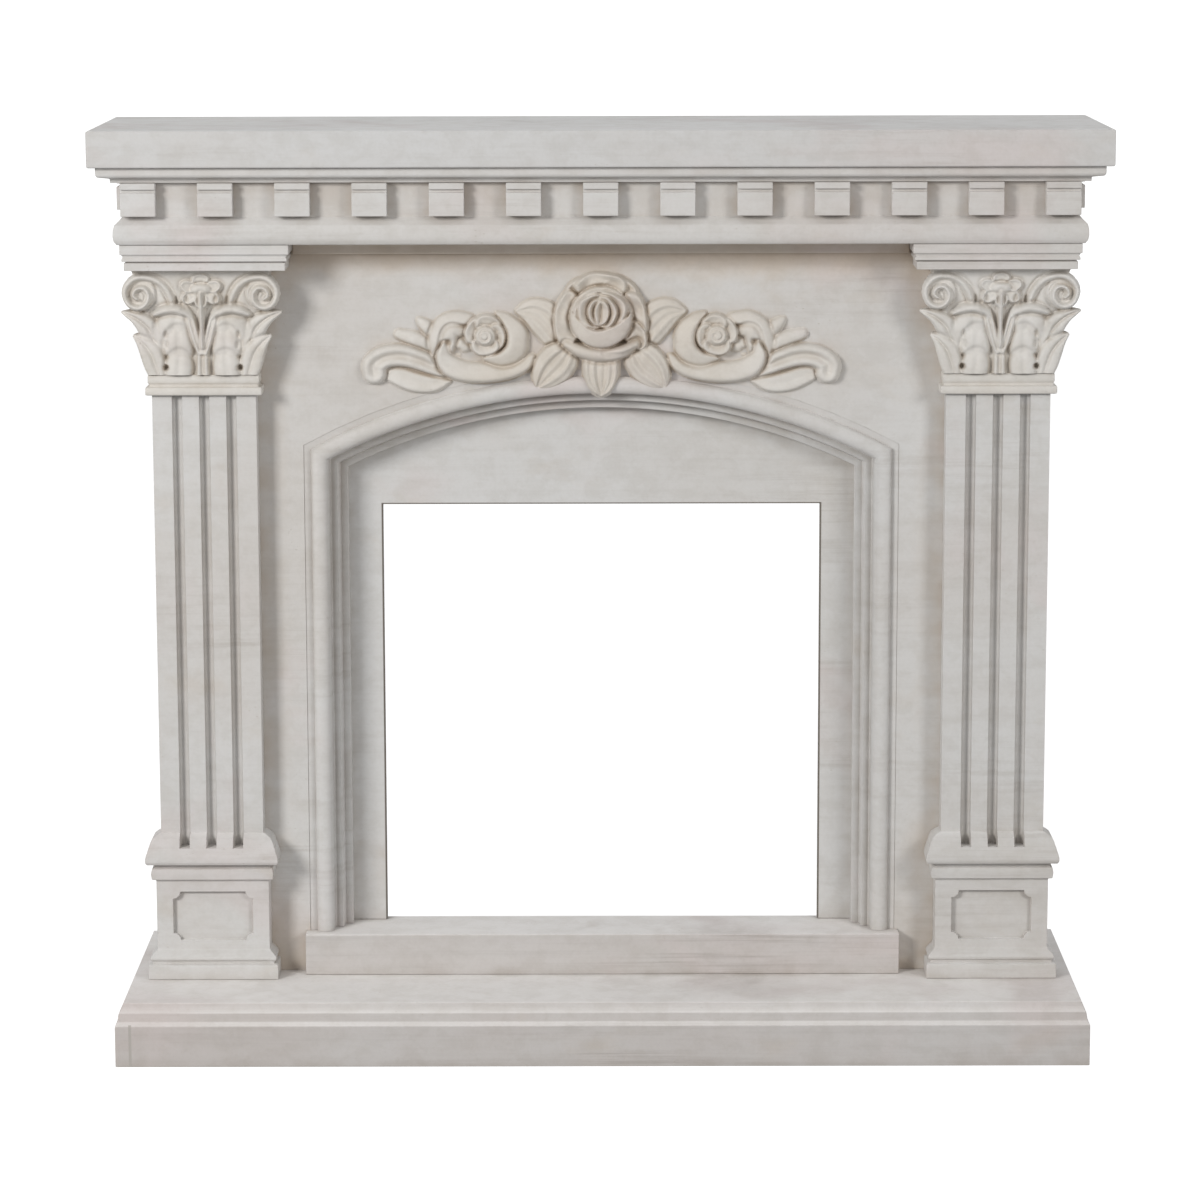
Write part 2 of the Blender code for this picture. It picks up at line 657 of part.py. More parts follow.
def capital_shells():
    """Carving of one capital in shares of its height, as (x, height, relief past the shaft's face)."""
    unit = CAPITAL_HEIGHT / 167
    sink = 12 * unit
    low = 27.5
    volute_z = 134
    volute_x = 78.5
    volute = 20.5

    def ridge(path, widths, heights, crest):
        route = [(x * unit, z * unit) for x, z in path]
        return ridge_shell(
            route, [w * unit for w in widths], [h * unit for h in heights], crest, 0.0, sink)

    def turned(centre, profile, sides, lobes=0, share=0.0):
        rings = [(radius * unit, rise * unit) for radius, rise in profile]
        return turned_shell((centre[0] * unit, centre[1] * unit), rings, sides, 0.0, sink, lobes, share)

    shells = [
        turned((0, low + 110), [(16, 12), (17, 18), (12, 23), (5, 24)], 12, 6, 0.08),
        ridge([(0, low + 2), (0, low + 40), (0, low + 100)], [7, 6, 4], [12, 12, 16], 1.1)]
    for side in (-1, 1):
        centre = (side * volute_x, volute_z)
        shells.append(turned(centre, [(0.90 * volute, 16), (0.85 * volute, 20)], 14))
        shells.append(turned(centre, [(5.5, 22), (5, 27), (2.5, 29)], 8))
        start = pi * (0.5 + 0.1 * side)
        coil = spiral_path(centre, 0.86 * volute, 9, 1.1, 13, start, side)
        stem = [(side * 27, volute_z - 22), (side * 40, volute_z + 2), (side * 56, volute_z + 16)]
        widths = [2, 3, 3] + [3.4 - 1.4 * step / 13 for step in range(14)]
        shells.append(ridge(stem + coil, widths, [16, 20, 24] + [27] * 14, 1.05))
        shells.append(ridge(
            [(side * 30, low + 2), (side * 30, low + 32), (side * 27, low + 62), (side * 24, low + 82)],
            [13, 17, 14, 9], [8, 14, 20, 22], 0.7))
        shells.append(ridge(
            [(side * 50, low + 1), (side * 56, low + 34), (side * 72, low + 62), (side * 98, low + 79)],
            [12, 15, 13, 1.5], [7, 13, 17, 12], 0.75))
        shells.append(ridge(
            [(side * 60, low + 8), (side * 71, low + 30), (side * 84.5, low + 45)],
            [10, 9, 1.5], [6, 10, 8], 0.8))
    return shells


def build_capitals(look):
    """Capitals cast with their necking: two bands, a flared bell, leaves, a fleuron and corner volutes."""
    base = CAPITAL_BOTTOM
    top = IMPOST_BOTTOM - GAP
    unit = CAPITAL_HEIGHT / 167
    profile = [
        (0, 6.8), (1.5, 8.0), (9.5, 8.0), (10.5, 7.0), (10.8, 3.5), (15.0, 3.5), (16.2, 4.8), (26.2, 4.8),
        (27.3, 3.5), (28.3, 1.0), (82.3, 2.0), (122.3, 7.0), (152.3, 15.0)]
    levels = [(base + rise * unit, out * unit) for rise, out in profile] + [(top, 19 * unit)]
    for side, label in ((-1, "left"), (1, "right")):
        block = loft(f"capital_{label}", [pilaster_ring(side, z, out) for z, out in levels], look)
        centre = side * PILASTER_CENTRE
        carving = fuse("carving_body", capital_shells(), lambda x, z, rise: at(
            centre + x, SHAFT_DEPTH + rise, base + z), look)
        apply_boolean(block, carving, "UNION", look)
        tidy(block)


def build_hearth(look):
    """Hearth slab with a stepped moulding round its top edge, and the step on it."""
    rise = HEARTH_MOULD_RISE
    inset = HEARTH_MOULD_INSET
    profile = [
        (0.00, 0.00), (0.19, 0.31), (0.57, 0.46), (0.69, 0.72), (0.88, 0.90), (1.00, 1.00)]
    levels = [(0.0, 0.0)] + [(HEARTH_FACE + rise * up, -inset * back) for up, back in profile]
    side_share = HEARTH_SIDE_INSET / HEARTH_MOULD_INSET
    slab("hearth_slab", HEARTH_WIDTH / 2, HEARTH_DEPTH, levels, look, side_share)
    back = INNER_BACK
    low = HEARTH_TOP + GAP
    section = [
        (back, low), (STEP_DEPTH, low), (STEP_DEPTH, STEP_TOP - STEP_ARRIS),
        (STEP_DEPTH - STEP_ARRIS, STEP_TOP), (back, STEP_TOP)]
    extrude_across("hearth_step", -STEP_WIDTH / 2, STEP_WIDTH / 2, section, look)


def build():
    """Clears the scene, builds every piece and parents them all to one empty."""
    for old in list(bpy.data.objects):
        bpy.data.objects.remove(old, do_unlink=True)
    build_hearth(HEARTH_WASH)
    build_side_panels(LIMEWASH)
    build_face_panel(LIMEWASH)
    build_inner_panel(INNER_WASH)
    build_arch_moulding(LIMEWASH)
    build_pedestals(LIMEWASH)
    build_shafts(LIMEWASH)
    build_capitals(GLAZED_WASH)
    build_imposts(LIMEWASH)
    build_cornice_strip(LIMEWASH)
    build_architrave(LIMEWASH)
    build_frieze(LIMEWASH)
    build_dentils(LIMEWASH)
    build_bed_moulding(LIMEWASH)
    build_shelf(LIMEWASH)
    build_rose_spray(GLAZED_WASH)
    mantel = bpy.data.objects.new("mantel", None)
    bpy.context.scene.collection.objects.link(mantel)
    for piece in bpy.data.objects:
        if piece.type == "MESH":
            piece.parent = mantel


build()
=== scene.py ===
"""Dressed fireplace mantel: softened mouldings, carved ornament and limewashed finishes, in studio light."""
import json
from math import cos, pi, radians, sin, sqrt

import bmesh
import bpy
import numpy as np
from mathutils import Matrix, Vector


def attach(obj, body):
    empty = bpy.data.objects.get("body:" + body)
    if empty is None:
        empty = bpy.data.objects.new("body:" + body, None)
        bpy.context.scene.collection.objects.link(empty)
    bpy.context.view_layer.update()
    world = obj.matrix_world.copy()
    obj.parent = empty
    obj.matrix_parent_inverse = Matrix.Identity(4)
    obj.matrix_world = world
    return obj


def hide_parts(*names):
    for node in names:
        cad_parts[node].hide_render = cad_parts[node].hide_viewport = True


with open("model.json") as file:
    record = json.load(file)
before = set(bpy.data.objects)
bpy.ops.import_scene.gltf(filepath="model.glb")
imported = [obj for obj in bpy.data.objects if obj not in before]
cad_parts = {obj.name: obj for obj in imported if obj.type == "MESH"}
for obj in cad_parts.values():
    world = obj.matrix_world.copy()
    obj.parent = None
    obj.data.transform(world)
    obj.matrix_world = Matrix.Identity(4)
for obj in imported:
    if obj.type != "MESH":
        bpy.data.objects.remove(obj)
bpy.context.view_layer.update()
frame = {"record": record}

MM = 0.001

# Sizes and levels shared with the solids, in metres
WALL_Y = 0.2
GAP = 0.0003
HEARTH_FACE = 0.0546
HEARTH_SEAM_X = -0.6203
STEP_TOP = 0.1373
PEDESTAL_TOP = 0.2620
CAPITAL_BOTTOM = 0.8700
FRIEZE_BOTTOM = 1.1068
FACE = 0.2153
PILASTER_X = 0.522
SHAFT_HALF = 0.0685
SHAFT_FRONT = 0.247
ARCH_RADIUS = 0.766
ARCH_CROWN = 0.8437
ARCH_Z = ARCH_CROWN - ARCH_RADIUS
ARCH_HALF = 0.3385
OPENING_HALF = 0.2935
OPENING_TOP = ARCH_CROWN - 0.1329
RECESS_DEPTH = 0.157
BELL_BOTTOM = 0.8973
SPRAY_Z = 0.9677

# Fineness of the meshes
ARCH_STEPS = 96
SPRAY_CELL = 0.9
CAPITAL_CELL = 0.8
CAPITAL_COLUMNS = 231


class Nodes:
    """Short way to write a material's node tree."""

    def __init__(self, name):
        self.material = bpy.data.materials.new(name)
        self.material.use_nodes = True
        self.tree = self.material.node_tree
        self.shader = self.tree.nodes["Principled BSDF"]
        self.place = self.add("ShaderNodeTexCoord").outputs["Object"]

    def add(self, kind, **settings):
        node = self.tree.nodes.new(kind)
        for key, value in settings.items():
            setattr(node, key, value)
        return node

    def link(self, source, target):
        if isinstance(source, (int, float, tuple)):
            target.default_value = source
        else:
            self.tree.links.new(source, target)

    def mapped(self, scale, offset=(0, 0, 0)):
        node = self.add("ShaderNodeMapping")
        self.link(self.place, node.inputs["Vector"])
        node.inputs["Scale"].default_value = scale
        node.inputs["Location"].default_value = offset
        return node.outputs["Vector"]

    def noise(self, vector, scale, detail=4.0, rough=0.55, distortion=0.0):
        node = self.add("ShaderNodeTexNoise")
        self.link(vector, node.inputs["Vector"])
        node.inputs["Scale"].default_value = scale
        node.inputs["Detail"].default_value = detail
        node.inputs["Roughness"].default_value = rough
        node.inputs["Distortion"].default_value = distortion
        return node.outputs["Fac"]

    def voronoi(self, vector, scale, randomness=1.0):
        node = self.add("ShaderNodeTexVoronoi")
        self.link(vector, node.inputs["Vector"])
        node.inputs["Scale"].default_value = scale
        node.inputs["Randomness"].default_value = randomness
        return node.outputs["Distance"]

    def math(self, operation, first, second=0.0, clamp=False):
        node = self.add("ShaderNodeMath", operation=operation, use_clamp=clamp)
        self.link(first, node.inputs[0])
        self.link(second, node.inputs[1])
        return node.outputs[0]

    def ramp(self, value, low, high, to_low=0.0, to_high=1.0, smooth=True):
        node = self.add("ShaderNodeMapRange", interpolation_type="SMOOTHSTEP" if smooth else "LINEAR")
        self.link(value, node.inputs["Value"])
        node.inputs["From Min"].default_value = low
        node.inputs["From Max"].default_value = high
        node.inputs["To Min"].default_value = to_low
        node.inputs["To Max"].default_value = to_high
        return node.outputs["Result"]

    def mix(self, factor, first, second, blend="MIX"):
        node = self.add("ShaderNodeMix", data_type="RGBA", blend_type=blend)
        self.link(factor, node.inputs["Factor"])
        self.link((*first, 1.0) if isinstance(first, tuple) else first, node.inputs[6])
        self.link((*second, 1.0) if isinstance(second, tuple) else second, node.inputs[7])
        return node.outputs[2]

    def occlusion(self, distance):
        node = self.add("ShaderNodeAmbientOcclusion", samples=2)
        node.inputs["Distance"].default_value = distance
        return node.outputs["AO"]

    def frame_line(self, left, right, low, top, width):
        """Mask of a line of some width round the outside of a rectangle in x and z."""
        axes = self.add("ShaderNodeSeparateXYZ")
        self.link(self.place, axes.inputs[0])
        x, z = axes.outputs["X"], axes.outputs["Z"]
        past_x = self.math("MAXIMUM", self.math("SUBTRACT", left, x), self.math("SUBTRACT", x, right))
        past_z = self.math("MAXIMUM", self.math("SUBTRACT", low, z), self.math("SUBTRACT", z, top))
        return self.ramp(self.math("MAXIMUM", past_x, past_z), width, width * 0.6)

    def bump(self, height, distance, strength=1.0, normal=None):
        node = self.add("ShaderNodeBump")
        node.inputs["Strength"].default_value = strength
        node.inputs["Distance"].default_value = distance
        self.link(height, node.inputs["Height"])
        if normal:
            self.link(normal, node.inputs["Normal"])
        return node.outputs["Normal"]


def limewash(name, pale, warm, glaze_and_shade, glaze_and_shade_amount, reach, streak=(1.2, 1.2, 30.0), seed=0.0, painted_top_light=None,
             streak_tone=0.87, lines=(), slope=(0.75, 0.98), under=None):
    """Limewash over cast stone: soft clouds, faint bedding streaks, pin holes and a thin brown glazing in the
    recesses, which also serves as painted shade there.

    The colour given for faces that look up, within a range of slope, is painted light: those faces are painted
    lighter as if lit from above. lines are thin lines round rectangles in x and z, as (left, right, low, top,
    colour). under is a range of heights over which a brown painted shade comes in, for the shadow under the
    entablature.
    """
    n = Nodes(name)
    shifted = n.mapped((1, 1, 1), (seed, seed * 1.7, seed * 0.6))
    cloud = n.noise(shifted, 2.2, 4.0, 0.6, 0.4)
    colour = n.mix(n.ramp(cloud, 0.36, 0.68), pale, warm)
    # Painted light: faces that look up are given a lighter colour, as if lit from above.
    if painted_top_light:
        facing = n.add("ShaderNodeSeparateXYZ")
        n.link(n.add("ShaderNodeNewGeometry").outputs["Normal"], facing.inputs[0])
        colour = n.mix(n.ramp(facing.outputs["Z"], *slope), colour, painted_top_light)
    blush = n.noise(n.mapped((1, 1, 1.4), (seed + 8.4, 2.0, 1.1)), 3.4, 3.0, 0.6, 0.5)
    colour = n.mix(n.ramp(blush, 0.52, 0.72, 0.0, 0.42), colour, (0.64, 0.555, 0.54))
    stain = n.noise(n.mapped((1, 1, 1.6), (seed + 3.1, 0, 5.2)), 6.5, 4.0, 0.62, 0.4)
    colour = n.mix(n.ramp(stain, 0.57, 0.78, 0.0, 0.28), colour, (0.56, 0.49, 0.41))
    # Painted shade: a brown band coming in towards the top, for the shadow under the entablature.
    if under:
        axes = n.add("ShaderNodeSeparateXYZ")
        n.link(n.place, axes.inputs[0])
        ragged = n.math("ADD", axes.outputs["Z"], n.ramp(stain, 0.3, 0.7, -0.008, 0.008))
        colour = n.mix(n.ramp(ragged, *under, 0.0, 0.75), colour, (0.60, 0.50, 0.40))
    mottle = n.noise(n.mapped((1, 1, 1.5), (seed, 3.0, 6.0)), 30.0, 3.0, 0.65, 0.3)
    colour = n.mix(n.ramp(mottle, 0.40, 0.66), colour, (0.945, 0.940, 0.930), "MULTIPLY")
    band_mask = n.ramp(n.noise(n.mapped((0.8, 0.8, 2.2), (seed + 1.7, 4.0, 0)), 3.0, 2.0, 0.5), 0.48, 0.70)
    brushed = n.noise(n.mapped(streak, (seed, seed, seed)), 3.2, 6.0, 0.70, 0.25)
    banding = n.math("MULTIPLY", n.ramp(brushed, 0.46, 0.70), n.ramp(band_mask, 0.0, 1.0, 0.25, 1.0, False))
    colour = n.mix(banding, colour, (streak_tone, streak_tone - 0.015, streak_tone - 0.03), "MULTIPLY")
    grain = n.noise(shifted, 240.0, 2.0, 0.6)
    colour = n.mix(n.ramp(grain, 0.35, 0.78, 0.0, 0.16), colour, (0.82, 0.80, 0.77), "MULTIPLY")
    pit_mask = n.ramp(n.noise(shifted, 9.0, 2.0, 0.6), 0.54, 0.72)
    pit = n.ramp(n.voronoi(n.mapped((1, 1, 2.4), (seed, 1.3, 2.2)), 80.0), 0.14, 0.04)
    pits = n.math("MULTIPLY", pit, pit_mask)
    colour = n.mix(n.math("MULTIPLY", pits, 0.45), colour, (0.42, 0.35, 0.28))
    # Recess darkening from ambient occlusion, made patchy with noise: partly a thin real glazing in the hollows and
    # partly painted shade.
    shade = n.occlusion(reach)
    patchy_recess_shade = n.math("ADD", shade, n.ramp(n.noise(shifted, 18.0, 2.0, 0.6), 0.3, 0.7, -0.18, 0.18))
    depth = n.math("MULTIPLY", n.ramp(patchy_recess_shade, 0.80, 0.24), glaze_and_shade_amount)
    colour = n.mix(depth, colour, glaze_and_shade)
    for left, right, low, top, tone in lines:
        colour = n.mix(n.frame_line(left, right, low, top, 0.0022), colour, tone)
    n.link(colour, n.shader.inputs["Base Color"])
    n.link(n.ramp(brushed, 0.25, 0.75, 0.56, 0.72), n.shader.inputs["Roughness"])
    relief = n.math("ADD", n.math("MULTIPLY", banding, -0.30), n.math("MULTIPLY", grain, 0.22))
    relief = n.math("ADD", relief, n.math("MULTIPLY", n.noise(shifted, 38.0, 3.0, 0.6), 0.55))
    relief = n.math("SUBTRACT", relief, n.math("MULTIPLY", pits, 1.2))
    n.link(n.bump(relief, 0.0008, 0.5), n.shader.inputs["Normal"])
    n.shader.inputs["Specular IOR Level"].default_value = 0.28
    return n.material


PALE = (0.665, 0.662, 0.655)
WARM = (0.628, 0.607, 0.585)
# The body's up-facing faces are painted lighter, as painted light from above.
wash = limewash("limewash", PALE, WARM, (0.30, 0.25, 0.20), 0.34, 0.018, painted_top_light=(0.80, 0.795, 0.79))
capital_wash = limewash("glazed_capital", (0.725, 0.710, 0.685), (0.680, 0.650, 0.605), (0.36, 0.28, 0.19), 0.48,
                        0.009, (12.0, 12.0, 12.0), 4.0)
carved = limewash("glazed_carving", (0.710, 0.688, 0.655), (0.655, 0.610, 0.550), (0.33, 0.24, 0.15), 0.70, 0.010,
                  (12.0, 12.0, 12.0), 4.0)
# Painted shade: a deeper, browner recess darkening for the frieze between its dentils.
frieze_shade_wash = limewash("frieze_painted_shade", PALE, WARM, (0.38, 0.30, 0.225), 0.62, 0.045)
# Painted shade: browner recess darkening beside the pilasters and a brown band under the entablature on the face
# panel.
face_wash = limewash("face_wash", PALE, WARM, (0.47, 0.38, 0.29), 0.70, 0.045, under=(1.012, 1.056))
# Painted shade: the strip under the entablature is brown all over for the warm shadow it sits in.
strip_shade_wash = limewash("strip_shade_wash", (0.67, 0.605, 0.535), (0.64, 0.565, 0.490), (0.42, 0.30, 0.19), 0.60, 0.030)
# Painted light: the shelf's top is painted lighter than its front.
shelf_wash = limewash("shelf_wash", (0.625, 0.627, 0.628), (0.605, 0.595, 0.585), (0.30, 0.25, 0.20), 0.34, 0.018,
                      painted_top_light=(0.85, 0.85, 0.848))
inner = limewash("inner_wash", (0.660, 0.658, 0.652), (0.620, 0.605, 0.585), (0.30, 0.25, 0.20), 0.42, 0.022,
                 seed=7.0, lines=[(-OPENING_HALF, OPENING_HALF, 0.0, OPENING_TOP, (0.16, 0.14, 0.12))])
# Painted light: the hearth's top faces are painted much lighter than its fronts.
hearth = limewash("hearth_wash", (0.605, 0.588, 0.577), (0.560, 0.525, 0.505), (0.31, 0.26, 0.21), 0.45, 0.018,
                  (0.8, 0.8, 34.0), 11.0, painted_top_light=(0.95, 0.935, 0.925), slope=(0.30, 1.20), streak_tone=0.77,
                  lines=[(HEARTH_SEAM_X - 0.0001, HEARTH_SEAM_X + 0.0001, -1.0, HEARTH_FACE, (0.46, 0.43, 0.40))])

SLOT_OF = {}
for part in frame["record"]["subparts"]:
    SLOT_OF[part["node"]] = part["material_slot"]
LOOK = {"washed_stone": wash, "glazed_carving": carved, "inner_board": inner, "hearth_stone": hearth}


OWN_LOOK = {"frieze": frieze_shade_wash, "panel_cornice": strip_shade_wash, "face_panel": face_wash, "shelf": shelf_wash,
            "capital_left": capital_wash, "capital_right": capital_wash}


def look_of(node):
    """Finish of a node: its slot's, or a variant for the deep boards with painted shade, for the shelf with a painted
    lighter top, and for the capitals.
    """
    return OWN_LOOK.get(node, LOOK[SLOT_OF[node]])


def piece(name, mesh_data, *nodes, smooth=35):
    """Links a mesh as a piece that stands for CAD nodes."""
    made = bpy.data.objects.new(name, mesh_data)
    bpy.context.scene.collection.objects.link(made)
    mesh_data.materials.clear()
    mesh_data.materials.append(look_of(nodes[0]))
    mesh_data.shade_smooth()
    mesh_data.set_sharp_from_angle(angle=radians(smooth))
    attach(made, "root")
    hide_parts(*nodes)
    return made


def soften(node, width, segments=3, crisp=None):
    """Copy of a plain solid with its arrises rounded, but for those at a level where it meets its neighbour."""
    shell = bmesh.new()
    shell.from_mesh(bpy.data.objects[node].data)
    bmesh.ops.remove_doubles(shell, verts=shell.verts, dist=0.00001)
    bmesh.ops.dissolve_limit(shell, angle_limit=radians(1.0), verts=shell.verts, edges=shell.edges)
    edges = [edge for edge in shell.edges if len(edge.link_faces) == 2 and edge.calc_face_angle() > radians(25)]
    if crisp:
        edges = [edge for edge in edges if max(abs(vert.co.z - crisp) for vert in edge.verts) > 0.001]
        for vert in shell.verts:
            if abs(vert.co.z - crisp) < 0.001:
                vert.co.z = crisp
    bmesh.ops.bevel(shell, geom=edges, offset=width, segments=segments, profile=0.5, affect="EDGES",
                    clamp_overlap=True)
    mesh_data = bpy.data.meshes.new(f"{node}_soft")
    shell.to_mesh(mesh_data)
    shell.free()
    made = piece(f"{node}_soft", mesh_data, node)
    weights = made.modifiers.new("weights", "WEIGHTED_NORMAL")
    weights.keep_sharp = True
    return made


def smooth(low, high, value):
    """Smooth step of an array from 0 at low to 1 at high."""
    share = np.clip((value - low) / (high - low), 0, 1)
    return share * share * (3 - 2 * share)


def curve(rows, count):
    """Smooth curve through rows of numbers."""
    p = np.array(rows, float)
    p = np.vstack([2 * p[0] - p[1], p, 2 * p[-1] - p[-2]])
    spans = len(p) - 3
    t = np.linspace(0, spans, count)
    k = np.minimum(t.astype(int), spans - 1)
    u = (t - k)[:, None]
    a, b, c, d = p[k], p[k + 1], p[k + 2], p[k + 3]
    return 0.5 * (2 * b + (c - a) * u + (2 * a - 5 * b + 4 * c - d) * u ** 2 + (3 * b - 3 * c + d - a) * u ** 3)


def blurred(field, sigma):
    """Gaussian blur of a grid."""
    reach = int(3 * sigma + 1)
    taps = np.exp(-0.5 * (np.arange(-reach, reach + 1) / sigma) ** 2)
    taps /= taps.sum()
    padded = np.pad(field, reach, mode="edge")
    rows = sum(w * padded[:, i:i + field.shape[1]] for i, w in enumerate(taps))
    return sum(w * rows[i:i + field.shape[0], :] for i, w in enumerate(taps))


class Relief:
    """Height field in millimetres, on which carved forms are laid one over another."""

    def __init__(self, x, z, height=None):
        self.x = x
        self.z = z
        self.height = np.zeros_like(x) if height is None else height

    def lay(self, inside, height, gap, depth, width):
        """Lays a form, with a soft channel cut round it in what lies below."""
        cut = depth * np.exp(-(np.maximum(gap, 0) / width) ** 2)
        self.height = np.maximum(self.height - cut, np.minimum(self.height, 0.0))
        self.height = np.where(inside, np.maximum(self.height, height), self.height)

    def nearest(self, rows, count=36):
        """Side offset, share of length and half width at the nearest point of a curve of (x, z, half width)."""
        line = curve(rows, count)
        rank, side, share = np.full(self.x.shape, 1e9), np.zeros_like(self.x), np.zeros_like(self.x)
        half = np.ones_like(self.x)
        for k in range(count - 1):
            start, end = line[k], line[k + 1]
            dx, dz = end[0] - start[0], end[1] - start[1]
            along = ((self.x - start[0]) * dx + (self.z - start[1]) * dz) / (dx * dx + dz * dz + 1e-9)
            along = np.clip(along, 0, 1)
            out_x, out_z = self.x - start[0] - along * dx, self.z - start[1] - along * dz
            width = np.maximum(start[2] + along * (end[2] - start[2]), 0.3)
            here = np.hypot(out_x, out_z) / width
            near = here < rank
            rank = np.where(near, here, rank)
            side = np.where(near, np.sign(dx * out_z - dz * out_x) * here, side)
            share = np.where(near, (k + along) / (count - 1), share)
            half = np.where(near, width, half)
        return side, share, half

    def stroke(self, rows, heights, form="round", depth=3.0, width=1.6, ribs=0, lip=1):
        """Lays a tapering form along a curve, with a round, leaf, channel or trough section."""
        side, share, half = self.nearest(rows)
        rise = np.interp(share, np.linspace(0, 1, len(heights)), heights)
        out = np.abs(side)
        body = np.sqrt(np.clip(1 - out ** 4, 0, 1))
        if form == "round":
            body = np.sqrt(np.clip(1 - out ** 2, 0, 1)) * 0.9 + 0.1 * body
        elif form == "leaf":
            body *= 0.80 + 0.20 * out ** 1.5 - 0.22 * np.exp(-(side / 0.13) ** 2)
        elif form == "channel":
            body *= 1.0 - 0.42 * np.exp(-(side / 0.38) ** 2)
        elif form == "trough":
            body *= 0.66 + 0.34 * smooth(-1.0, 0.9, side * lip)
        elif form == "fold":
            body *= 0.62 + 0.38 * np.abs(side) ** 1.3 * (0.75 + 0.25 * np.sign(side * lip))
        if ribs:
            body = body * (1.0 + 0.10 * np.cos(pi * ribs * side))
        self.lay(out < 1, rise * body, (out - 1) * half, depth, width)

    def dish(self, place, size, turn, base, rim, depth=5.0, width=2.0, lip=0.45, wave=0.0):
        """Lays a petal: an oval dish between a base and a rim height."""
        dx, dz = self.x - place[0], self.z - place[1]
        u = (dx * cos(turn) + dz * sin(turn)) / size[0]
        v = (dz * cos(turn) - dx * sin(turn)) / size[1]
        out = np.hypot(u, v) * (1 + wave * np.cos(5 * np.arctan2(v, u) + place[0]))
        rise = (base + (rim - base) * smooth(lip, 0.90, out)) * np.clip((1 - out) / 0.09, 0, 1) ** 0.35
        self.lay(out < 1, rise, (out - 1) * min(size), depth, width)

    def lobe(self, place, size, turn, low, high):
        """Lays a rounded leaf lobe that rises towards its tip."""
        dx, dz = self.x - place[0], self.z - place[1]
        u = (dx * cos(turn) + dz * sin(turn)) / size[0]
        v = (dz * cos(turn) - dx * sin(turn)) / size[1]
        out = np.hypot(u, v)
        rise = low + (high - low) * smooth(-1.0, 0.8, v)
        rise = rise * (1 - 0.12 * np.exp(-(u / 0.20) ** 2) - 0.10 * u ** 2) * np.clip(1 - out ** 3, 0, 1) ** 0.35
        self.lay(out < 1, rise, (out - 1) * min(size), 2.8, 2.4)

    def pit(self, x, z, radius, depth):
        """Sinks a small soft pit."""
        out = np.hypot(self.x - x, self.z - z)
        self.height = np.maximum(self.height - depth * np.exp(-(out / radius) ** 2), np.minimum(self.height, 0.0))


def patches_mesh(name, patches):
    """Mesh of grids of points, each with a mask of the cells to keep."""
    places, cells, first = [], [], 0
    for points, keep in patches:
        rows, columns = points.shape[:2]
        index = first + np.arange(rows * columns).reshape(rows, columns)
        quads = np.stack([index[:-1, :-1], index[:-1, 1:], index[1:, 1:], index[1:, :-1]], axis=-1)
        cells.append(quads[keep] if keep is not None else quads.reshape(-1, 4))
        places.append(points.reshape(-1, 3))
        first += rows * columns
    used, corners = np.unique(np.concatenate(cells), return_inverse=True)
    mesh_data = bpy.data.meshes.new(name)
    mesh_data.from_pydata(np.concatenate(places)[used].tolist(), [], corners.reshape(-1, 4).tolist())
    return mesh_data


def carve_leaves(r):
    """Leaves, scrolls and rosettes of one side of the spray."""
    r.stroke([(196, -44, 12), (222, -36, 12), (246, -28, 11), (266, -21, 7)], [8, 11, 11, 7], "round", 2.5, 2.4)
    r.stroke([(196, -34, 11), (216, -22, 11), (230, -11, 9), (239, -3, 5)], [9, 12, 11, 6], "round", 2.6, 2.2)
    r.stroke([(200, -78, 7), (222, -86, 12), (246, -84, 14), (268, -76, 13), (286, -70, 8)], [7, 10, 10, 8, 5],
             "fold", 2.6, 2.4, lip=-1)
    r.stroke([(178, -72, 6), (200, -70, 9), (219, -64, 12), (240, -55, 14), (262, -49, 15), (284, -51, 15),
              (299, -61, 16), (299, -72, 15.5)], [8, 11, 13, 15, 16, 16, 15, 14], "channel", 4.5, 2.2)
    r.stroke([(206, -48, 12), (192, -36, 12), (172, -34, 10)], [7, 7, 6], "round", 1.0, 1.5)
    r.stroke([(214, -52, 8), (218, -32, 11), (212, -12, 11), (196, -2, 11), (176, -1, 8), (166, -3, 4)],
             [9, 13, 15, 15, 13, 9], "trough", 4.0, 2.2)
    r.stroke([(203, -58, 8), (203, -36, 11), (197, -18, 11), (183, -17, 7)], [10, 13, 14, 9], "round", 4.0, 2.2)
    carve_rosette(r, 152.5, -23)
    r.stroke([(206, -34, 4), (208, -50, 10), (198, -64, 14), (178, -71, 14), (150, -72, 14), (118, -66, 14),
              (92, -56, 9)], [11, 14, 15, 16, 16, 15, 12], "trough", 6.0, 2.6)
    r.stroke([(152, -54, 4), (130, -54, 11), (113, -42, 15), (111, -20, 14), (124, -2, 8), (136, 6, 3)],
             [11, 15, 17, 16, 13, 9], "trough", 4.5, 2.4, lip=-1)
    r.stroke([(48, -40, 12), (58, -22, 21), (72, -3, 24), (88, 8, 18), (108, 9, 5)], [12, 15, 15, 12, 8], "fold",
             4.0, 2.4, ribs=4)
    r.stroke([(44, -42, 12), (56, -57, 25), (68, -70, 23), (79, -84, 11), (83, -90, 4)], [18, 20, 19, 16, 12], "fold",
             5.5, 2.8, ribs=4)
    r.stroke([(0, -46, 20), (0, -66, 25), (0, -82, 21), (0, -94, 10), (0, -102, 3)], [18, 20, 19, 15, 11], "fold",
             6.0, 2.8, ribs=5)
    r.pit(200.5, -31, 4.0, 8.0)
    r.pit(189, -44, 4.5, 8.0)
    r.pit(92, -31, 4.0, 9.0)
    r.pit(33, -74, 5.0, 8.0)


